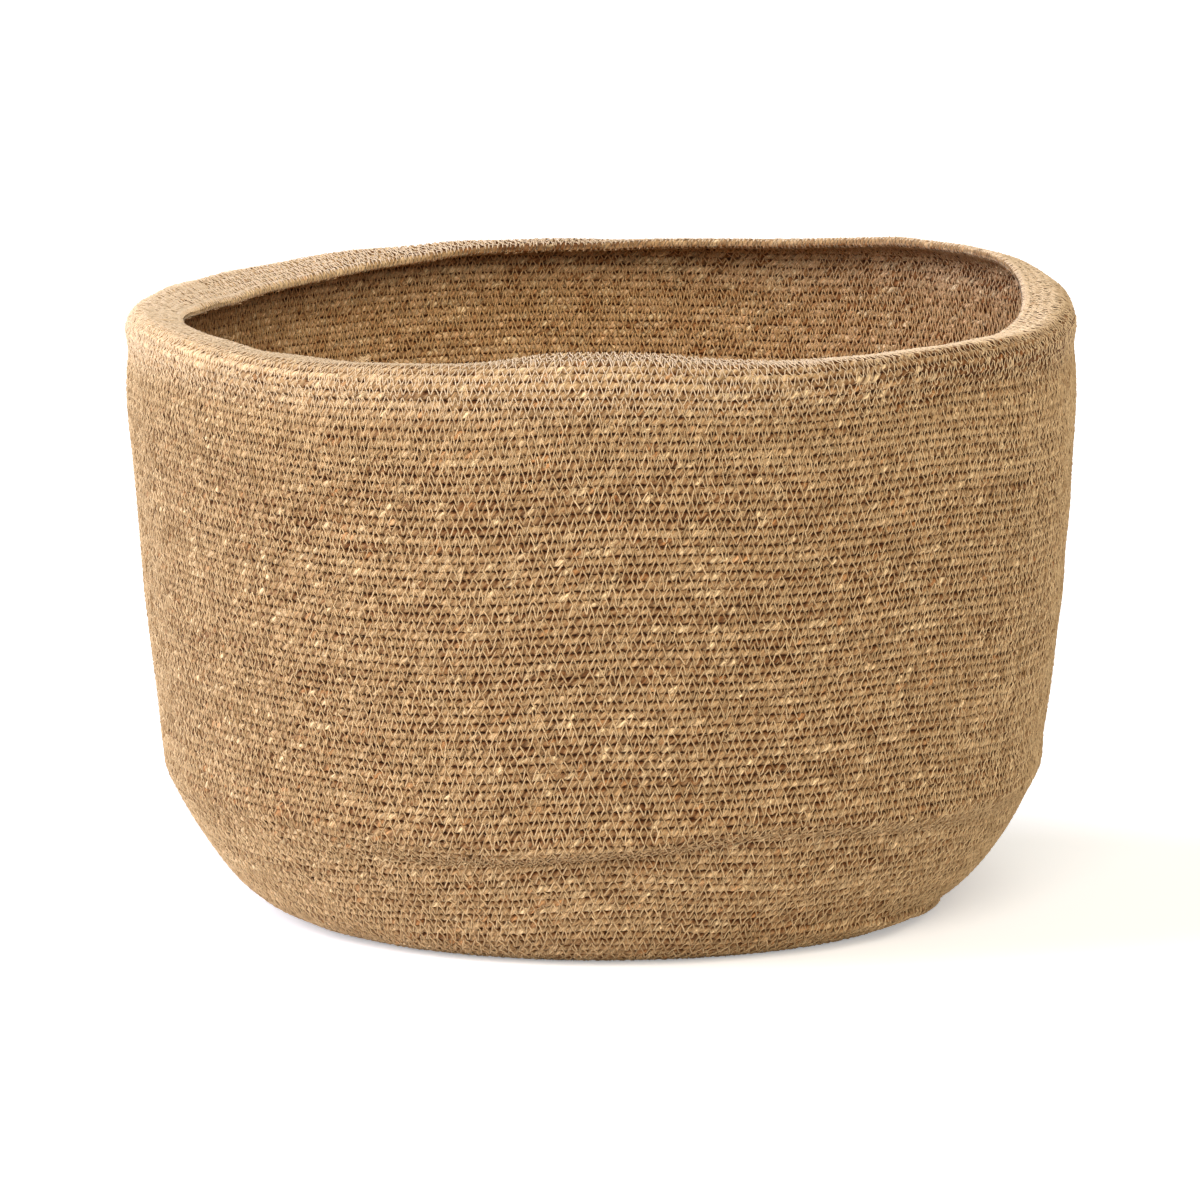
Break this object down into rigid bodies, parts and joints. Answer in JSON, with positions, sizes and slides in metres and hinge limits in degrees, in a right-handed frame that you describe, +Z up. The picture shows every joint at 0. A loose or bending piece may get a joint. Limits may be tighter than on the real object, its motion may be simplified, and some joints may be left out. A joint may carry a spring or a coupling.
{
  "type": "seagrass basket",
  "caption": "Round open storage basket, coiled from twisted seagrass cord sewn row to row with zigzag thread, with a soft rolled-in rim and a flat base.",
  "frame": {"origin": "centre of the basket's bounding box in plan, on the floor under the flat base", "axes": "+Z up out of the mouth, -Y towards the pictured front with the crease low in the wall, +X to the right as pictured"},
  "size_m": [0.3988, 0.4016, 0.2673],
  "materials": {
    "seagrass_cord": "dry twisted plant fibre, matte with faint sheen",
    "sewing_thread": "soft spun thread, matte"
  },
  "bodies": {
    "root": {"coil_start": "seagrass_cord", "base_disc": "seagrass_cord", "foot_bend": "seagrass_cord", "heel": "seagrass_cord", "lower_wall": "seagrass_cord", "upper_wall": "seagrass_cord", "rim_shoulder": "seagrass_cord", "rim_lip": "seagrass_cord", "edge_row": "seagrass_cord", "cord_tail": "seagrass_cord", "edge_seam_thread": "sewing_thread"}
  },
  "joints": []
}
